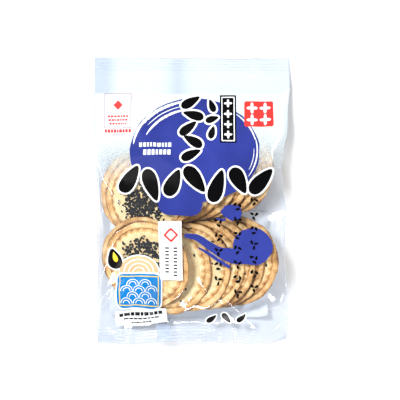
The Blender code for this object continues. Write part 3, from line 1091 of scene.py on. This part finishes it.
def print_shapes():
    """Every printed shape by colour: lists of loops, the first an outline and the rest holes."""
    rng = np.random.default_rng(23)
    blue = [
        [oval(ROUND_FIELD["centre"], ROUND_FIELD["radii"], rough=0.010, seed=3, steps=160)],
        [bar((-8.8, 3.5), (36, 31), -3, 9)],
        [stroke(((-4, -28, 3.5), (5, -30, 5.3), (14, -36, 6.2), (21, -40.5, 7.5), (28, -43.2, 10.4),
                 (36, -44.6, 13.2), (44, -43, 16.0)), 0.02, 5)],
        [oval((49.0, -37.0), (15.8, 14.8), -10, 0.012, 6, steps=120)],
        [stroke(((6, -38, 1.4), (14, -42.6, 2.4), (21.5, -48, 2.8), (30, -53.2, 2.6)), 0.06, 7)],
        [oval((32.5, -9.5), (8.4, 6.2), -10, 0.05, 8, steps=40)],
        [stroke(((20.5, -14.5, 1.2), (24, -15.6, 2.2), (27, -15.2, 1.6)), 0.1, 9)],
    ]
    white = []
    for number, arc in enumerate(FIELD_ARCS):
        white.append([arc_band(arc["part"], arc["from"], arc["to"], arc["width"], 0.16, 60 + number)])
    black = []
    for loop in title_drops():
        white.append([widened(loop, OUTLINE)])
        black.append([loop])
    white += dash_row((-29.5, 45.2), (26, 3.4), 9, 0.9, rng)
    white += dash_row((-28.0, 39.0), (22, 4.4), 7, 0.9, rng)

    # upright panel with a light line round it
    panel = bar((29.5, 66.0), (13.2, 39.4), corner=0.5)
    grey = [frame_loops((29.5, 66.0), (10.8, 37.0), 0.9)]
    black.append([panel])
    for step in range(4):
        grey += petals((29.5, 53.0 + 8.7 * step), 6.2)

    # red seal
    red = [[bar((54.4, 70.2), (23.4, 21.2), corner=1.6)]]
    seal_marks = []
    for x in (49.0, 59.6):
        for y in (65.4, 75.2):
            seal_marks += petals((x, y), 8.4)

    # thin framed box with rows of dashes
    pink = [frame_loops((-60.2, 73.4), (22.4, 28.6), 0.55)]
    red.append([bar((-60.2, 78.0), (5.6, 5.6), 45, 0.5)])
    for row in range(3):
        red += dash_row((-60.2, 68.8 - 3.0 * row), (17.0 - 1.5 * row, 1.5), 7, 0.7, rng)
    red += dash_row((-60.2, 56.8), (21.5, 2.6), 9, 0.7, rng)
    pink += dash_row((-59.6, 53.6), (10.0, 0.8), 5, 0.6, rng)

    # columns of small dark dashes over the blue stroke
    for column, (x, top, count) in enumerate(((21.4, -16.0, 5), (36.8, -3.0, 7), (50.0, 1.0, 7))):
        for step in range(count):
            y = top - 11.6 * step
            turn = 70 * step + 40 * column
            black.append([drop((x - 1.6, y), 3.8, 2.1, turn, 12)])
            black.append([drop((x + 2.0, y - 0.8), 3.8, 2.1, turn + 75, 12)])
            black.append([drop((x + 0.2, y - 4.0), 3.8, 2.1, turn + 150, 12)])

    # tall white card with a thin line round it
    white.append([bar((-16.8, -40.2), (18.6, 47.4), 1.0, 0.8)])
    dark_line = [[bar((-16.8, -40.4), (15.6, 43.6), 1.0, 0.4), bar((-16.8, -40.4), (14.9, 42.9), 1.0, 0.3)]]
    red.append([bar((-16.4, -27.6), (8.6, 8.6), 46, 1.2), bar((-16.4, -27.6), (5.6, 5.6), 46, 0.8)])
    for x, top, count in ((-19.6, -38.0, 8), (-12.9, -38.0, 9)):
        for step in range(count):
            black.append([bar((x, top - 2.75 * step), (3.0, 1.15), 0.0, 0.25)])

    # badge: a half sun over a framed field of waves, and one big seed beside it
    cream = [[half_oval((-42.6, -58.0), (16.0, 13.4))]]
    sky = [[bar((-42.6, -73.2), (36.0, 28.0), 0.0, 5.0)]]
    white.append([widened(cream[0][0], 1.1)])
    white.append([widened(sky[0][0], 1.1)])
    waves = wave_scales((-42.6, -73.2), (30.6, 21.5), 5.1)
    for share in (0.78, 0.54, 0.30):
        outer = half_oval((-42.6, -57.4), (16.0 * share, 13.4 * share))
        inner = half_oval((-42.6, -57.4), (16.0 * share - 0.8, 13.4 * share - 0.8))
        waves.append([outer, inner])
    yellow = [frame_loops((-42.6, -73.2), (32.4, 24.4), 0.7)]
    grain = drop((-62.0, -47.0), 17.0, 11.0, 105)
    white.append([widened(grain, 1.2)])
    black.append([grain])
    yellow.append([drop((-61.6, -45.6), 8.4, 3.6, 105)])

    # slanting caption patch, and three drops at the lower right
    white.append([bar((-41.0, -94.6), (42.0, 12.4), 5.0, 1.0)])
    for row, (height, size) in enumerate(((2.9, (35.0, 2.8)), (-0.8, (29.0, 1.2)), (-3.9, (16.0, 1.2)))):
        for loops in dash_row((0.0, height), size, 9 - row, 0.7, rng):
            black.append([turned(loops[0], 5.0) + np.array((-41.0, -94.6))])
    for x, y, turn in ((16.0, -96.0, 40), (28.0, -95.5, -50), (40.0, -95.0, 50)):
        loop = drop((x, y), 10.0, 4.6, turn)
        white.append([widened(loop, 0.9)])
        black.append([loop])
    return {
        "blue": (blue, "blue", BLUE_INK),
        "white": (white, "white", WHITE_INK),
        "black": (black, "dark", BLACK_INK),
        "red": (red, "dark", RED_INK),
        "sky_blue": (sky, "dark", SKY_INK),
        "cream": (cream, "dark", CREAM_INK),
        "yellow": (yellow, "top", YELLOW_INK),
        "grey_line": (grey + waves + seal_marks, "top", WHITE_INK),
        "dark_line": (dark_line, "dark", (0.22, 0.22, 0.24)),
        "pink_line": (pink, "dark", PINK_INK),
    }


# ---------------------------------------------------------------- print meshes

def inside_loops(points, loops):
    """Which points lie inside the loops, by counting crossings."""
    inside = np.zeros(len(points), bool)
    for loop in loops:
        following = np.roll(loop, -1, axis=0)
        for (x1, y1), (x2, y2) in zip(loop, following):
            spans = (y1 > points[:, 1]) != (y2 > points[:, 1])
            if y1 != y2:
                crossing = x1 + (points[:, 1] - y1) * (x2 - x1) / (y2 - y1)
                inside ^= spans & (points[:, 0] < crossing)
    return inside


def flat_triangles(film, shapes):
    """Cuts shapes into triangles along the film's own facets. Returns flat places and triangles."""
    places = []
    edges = []
    wanted = np.zeros((len(film.us) - 1, len(film.vs) - 1), bool)
    for loops in shapes:
        low = np.min([loop.min(axis=0) for loop in loops], axis=0)
        high = np.max([loop.max(axis=0) for loop in loops], axis=0)
        first_i = max(0, int(np.searchsorted(film.us, low[0])) - 1)
        last_i = min(len(film.us) - 1, int(np.searchsorted(film.us, high[0])) + 1)
        first_j = max(0, int(np.searchsorted(film.vs, low[1])) - 1)
        last_j = min(len(film.vs) - 1, int(np.searchsorted(film.vs, high[1])) + 1)
        wanted[first_i:last_i, first_j:last_j] = True
        for loop in loops:
            start = len(places)
            count = len(loop)
            places.extend(map(tuple, loop))
            edges.extend((start + k, start + (k + 1) % count) for k in range(count))
    number = {}
    for i, j in np.argwhere(wanted):
        for corner in ((i, j), (i + 1, j), (i + 1, j + 1), (i, j + 1)):
            if corner not in number:
                number[corner] = len(places)
                places.append((film.us[corner[0]], film.vs[corner[1]]))
        a, b, c, d = (number[k] for k in ((i, j), (i + 1, j), (i + 1, j + 1), (i, j + 1)))
        edges.extend(((a, b), (b, c), (c, d), (d, a), (a, c)))
    result = delaunay_2d_cdt([Vector(place) for place in places], edges, [], 0, 1e-7, False)
    corners = np.array([tuple(place) for place in result[0]])
    triangles = np.array([face for face in result[2]])
    middle = corners[triangles].mean(axis=1)
    keep = np.zeros(len(triangles), bool)
    for loops in shapes:
        low = np.min([loop.min(axis=0) for loop in loops], axis=0)
        high = np.max([loop.max(axis=0) for loop in loops], axis=0)
        near = np.flatnonzero(((middle >= low) & (middle <= high)).all(axis=1) & ~keep)
        keep[near] = inside_loops(middle[near], loops)
    triangles = triangles[keep]
    used, renumbered = np.unique(triangles, return_inverse=True)
    return corners[used], renumbered.reshape(-1, 3)


def on_film(film, places, lift, back=False):
    """Points on the film's own facets at flat places, lifted off its outer side."""
    i = np.clip(np.searchsorted(film.us, places[:, 0], side="right") - 1, 0, len(film.us) - 2)
    j = np.clip(np.searchsorted(film.vs, places[:, 1], side="right") - 1, 0, len(film.vs) - 2)
    a = np.clip((places[:, 0] - film.us[i]) / (film.us[i + 1] - film.us[i]), 0, 1)[:, None]
    b = np.clip((places[:, 1] - film.vs[j]) / (film.vs[j + 1] - film.vs[j]), 0, 1)[:, None]
    read = []
    sheets = (film.back, -film.back_normals) if back else (film.front, film.normals)
    for grid in sheets:
        near = grid[i, j]
        far = grid[i + 1, j + 1]
        lower = near + a * (grid[i + 1, j] - near) + b * (far - grid[i + 1, j])
        upper = near + b * (grid[i, j + 1] - near) + a * (far - grid[i, j + 1])
        read.append(np.where(b <= a, lower, upper))
    return read[0] + read[1] * lift


def make_print(film, name, shapes, lift, material):
    """One colour of the print as one thin mesh that follows the film."""
    flat = [[film.flat_places(loop * MM) for loop in loops] for loops in shapes]
    places, triangles = flat_triangles(film, flat)
    points = on_film(film, places, lift)
    return new_object(name, points, triangles, material)


def make_patch(film, name, across, along, lift, material, back=False):
    """A rectangle of the front or back film, as a sheet just off it."""
    loop = np.array(((across[0], along[0]), (across[1], along[0]),
                     (across[1], along[1]), (across[0], along[1])))
    places, triangles = flat_triangles(film, [[loop]])
    points = on_film(film, places, lift, back)
    if back:
        triangles = triangles[:, ::-1]
    return new_object(name, points, triangles, material), places


def ink_material(name, colour, roughness=0.22):
    """Opaque ink under the film's own gloss, faintly uneven."""
    material = new_material(name)
    place = add_node(material, "ShaderNodeTexCoord")
    cloud = add_node(material, "ShaderNodeTexNoise", Scale=24.0, Detail=3.0)
    link(material, place.outputs["Object"], cloud.inputs["Vector"])
    ramp = add_ramp(material, cloud.outputs["Fac"], (
        (0.35, tuple(part * 0.80 for part in colour) + (1.0,)),
        (0.65, tuple(min(part * 1.10, 1.0) for part in colour) + (1.0,)),
    ))
    shader = add_node(material, "ShaderNodeBsdfPrincipled", Roughness=roughness)
    shader.inputs["Specular IOR Level"].default_value = 0.12
    link(material, ramp.outputs["Color"], shader.inputs["Base Color"])
    return finish_material(material, shader)


def fade_material():
    """White ink in fine dots that thin out downwards, read from the "cover" attribute, greyed blue on the
    header by a painted reflection read from the "shade" attribute.
    """
    material = new_material("white_dots")
    cover = add_node(material, "ShaderNodeAttribute", attribute_name="cover")
    place = add_node(material, "ShaderNodeTexCoord")
    dots = add_node(material, "ShaderNodeTexNoise", Scale=1400.0, Detail=2.0, Roughness=0.5)
    link(material, place.outputs["Object"], dots.inputs["Vector"])
    spread = add_node(material, "ShaderNodeMath", operation="MULTIPLY_ADD")
    spread.inputs[1].default_value = 1.6
    spread.inputs[2].default_value = -0.80
    link(material, dots.outputs["Fac"], spread.inputs[0])
    share = add_node(material, "ShaderNodeMath", operation="MULTIPLY_ADD", use_clamp=True)
    link(material, spread.outputs[0], share.inputs[0])
    middle = add_node(material, "ShaderNodeMath", operation="MULTIPLY")
    link(material, cover.outputs["Fac"], middle.inputs[0])
    rest = add_node(material, "ShaderNodeMath", operation="SUBTRACT")
    rest.inputs[0].default_value = 1.0
    link(material, cover.outputs["Fac"], rest.inputs[1])
    link(material, rest.outputs[0], middle.inputs[1])
    swing = add_node(material, "ShaderNodeMath", operation="MULTIPLY")
    swing.inputs[1].default_value = 4.0
    link(material, middle.outputs[0], swing.inputs[0])
    link(material, swing.outputs[0], share.inputs[1])
    link(material, cover.outputs["Fac"], share.inputs[2])
    white = add_node(material, "ShaderNodeBsdfPrincipled", Roughness=0.25)
    white.inputs["Specular IOR Level"].default_value = 0.3
    # painted reflection: the white ink greyed blue where the shade attribute is high
    shade = add_node(material, "ShaderNodeAttribute", attribute_name="shade")
    tone = add_ramp(material, shade.outputs["Fac"], (
        (0.0, FADE_INK + (1.0,)),
        (1.0, FADE_SHADE + (1.0,)),
    ))
    link(material, tone.outputs["Color"], white.inputs["Base Color"])
    clear = add_node(material, "ShaderNodeBsdfTransparent")
    both = add_node(material, "ShaderNodeMixShader")
    link(material, share.outputs[0], both.inputs["Fac"])
    link(material, clear.outputs[0], both.inputs[1])
    link(material, white.outputs[0], both.inputs[2])
    return finish_material(material, both)


def paper_material(name, colour):
    """Blank white label paper."""
    material = new_material(name)
    shader = add_node(material, "ShaderNodeBsdfPrincipled", Roughness=0.55)
    shader.inputs["Base Color"].default_value = colour
    return finish_material(material, shader)


def add_print(film):
    """Fade, print colours, back seam and back label."""
    end = FLAT_LENGTH / 2 - 0.5 * MM
    side = FLAT_WIDTH / 2 - 0.6 * MM
    fade, places = make_patch(film, "print_fade", (-side, side), (FADE_FROM, end),
                              LAYER_LIFT["fade"], fade_material())
    header = smooth_step(places[:, 1], HEADER_FROM, HEADER_FROM + 2 * MM)
    # painted reflection: the header's white ink greyed a little all over, more at the left corner and in
    # the middle
    shade = 0.25 + 0.55 * smooth_step(-places[:, 0], 58 * MM, 72 * MM)
    shade = shade + 0.45 * bump(places[:, 0], -12 * MM, 8 * MM)
    add_attribute(fade, "cover", FADE_COVER * smooth_step(places[:, 1], FADE_FROM, FADE_TO))
    add_attribute(fade, "shade", header * shade)
    place_piece(fade)
    for name, (shapes, layer, colour) in print_shapes().items():
        material = ink_material("ink_" + name, colour)
        place_piece(make_print(film, "print_" + name, shapes, LAYER_LIFT[layer], material))
    seam, places = make_patch(film, "back_seam", SEAM_SIDES, (-end, end), 0.10 * MM, film_material(),
                              back=True)
    add_attribute(seam, "frost", np.full(len(places), SEAM_FROST))
    place_piece(seam)
    sheet, _ = make_patch(film, "label_sheet", LABEL_SHEET["across"], LABEL_SHEET["along"],
                          0.04 * MM, paper_material("label_paper", (0.95, 0.97, 0.98, 1.0)), back=True)
    place_piece(sheet)
    field, _ = make_patch(film, "label_field", LABEL_FIELD["across"], LABEL_FIELD["along"],
                          0.02 * MM, paper_material("label_field", (0.98, 0.98, 0.98, 1.0)), back=True)
    place_piece(field)


# ---------------------------------------------------------------- stage

def aim(thing, target):
    """Turns a lamp or camera so that it looks at a point."""
    direction = Vector(target) - thing.location
    thing.rotation_euler = direction.to_track_quat("-Z", "Y").to_euler()


def add_lamp(name, place, size, energy, colour=(1.0, 1.0, 1.0)):
    lamp = bpy.data.lights.new(name, "AREA")
    lamp.shape = "SQUARE"
    lamp.size = size
    lamp.energy = energy
    lamp.color = colour
    thing = bpy.data.objects.new(name, lamp)
    bpy.context.scene.collection.objects.link(thing)
    thing.location = place
    aim(thing, (0.0, 0.0, 0.0))
    return thing


def add_stage():
    """Camera, plain pale floor, one soft key lamp from the upper left and a bright room."""
    scene = bpy.context.scene
    scene.view_settings.view_transform = "Standard"
    camera = bpy.data.cameras.new("camera")
    camera.sensor_width = SENSOR
    camera.lens = SENSOR * CAMERA_AT[2] / VIEW_WIDTH
    viewer = bpy.data.objects.new("camera", camera)
    scene.collection.objects.link(viewer)
    viewer.location = CAMERA_AT
    scene.camera = viewer
    world = bpy.data.worlds.new("room")
    scene.world = world
    world.use_nodes = True
    nodes = world.node_tree.nodes
    links = world.node_tree.links
    backdrop = nodes["Background"]
    direction = nodes.new("ShaderNodeTexCoord")
    height = nodes.new("ShaderNodeSeparateXYZ")
    walls = nodes.new("ShaderNodeValToRGB")
    walls.color_ramp.elements[0].position = 0.45
    walls.color_ramp.elements[0].color = (1.0, 1.0, 1.0, 1.0)
    walls.color_ramp.elements[1].position = 0.88
    walls.color_ramp.elements[1].color = (0.30, 0.31, 0.33, 1.0)
    links.new(direction.outputs["Generated"], height.inputs[0])
    links.new(height.outputs["Z"], walls.inputs["Fac"])
    links.new(walls.outputs["Color"], backdrop.inputs["Color"])
    backdrop.inputs["Strength"].default_value = 0.68
    key = add_lamp("key", (-0.50, 0.38, 1.10), 0.30, 15.5)
    overhead = add_lamp("overhead", (0.15, -0.15, 1.45), 1.50, 6.0)
    fill = add_lamp("fill", (0.60, -0.80, 0.60), 0.70, 8.0)
    for lamp in (key, overhead, fill):
        lamp.visible_glossy = False
    for name, bearing, elevation, size, energy in (("glint_right", 25, 24, 0.36, 9.6),
                                                   ("glint_left", -145, 29, 0.24, 4.6),
                                                   ("glint_side", 174, 18, 0.16, 1.8),
                                                   ("glint_low", -92, 25, 0.26, 5.2),
                                                   ("sheen_left", 165, 40, 0.50, 2.2)):
        around = math.radians(bearing)
        up = math.radians(elevation)
        place = (1.2 * math.cos(up) * math.cos(around), 1.2 * math.cos(up) * math.sin(around),
                 1.2 * math.sin(up))
        add_lamp(name, place, size, energy).visible_diffuse = False
    half = 2.0
    corners = np.array(((-half, -half, 0), (half, -half, 0), (half, half, 0), (-half, half, 0)))
    material = new_material("pale_floor")
    shader = add_node(material, "ShaderNodeBsdfPrincipled", Roughness=0.9)
    shader.inputs["Base Color"].default_value = (0.71, 0.71, 0.71, 1.0)
    finish_material(material, shader)
    floor = new_object("floor", corners, [(0, 1, 2, 3)], material, smooth=False)


# ---------------------------------------------------------------- assembly

def place_piece(piece):
    """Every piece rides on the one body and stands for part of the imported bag."""
    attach(piece, "root")
    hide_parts("bag")


def main():
    add_stage()
    heap = Heap()
    dough = cracker_material()
    for index in range(len(heap.places)):
        place_piece(make_cracker(index, heap.places, dough))
    place_piece(make_sesame(heap, sesame_material()))
    film = Film(heap)
    place_piece(make_film(film, film_material()))
    add_print(film)


main()
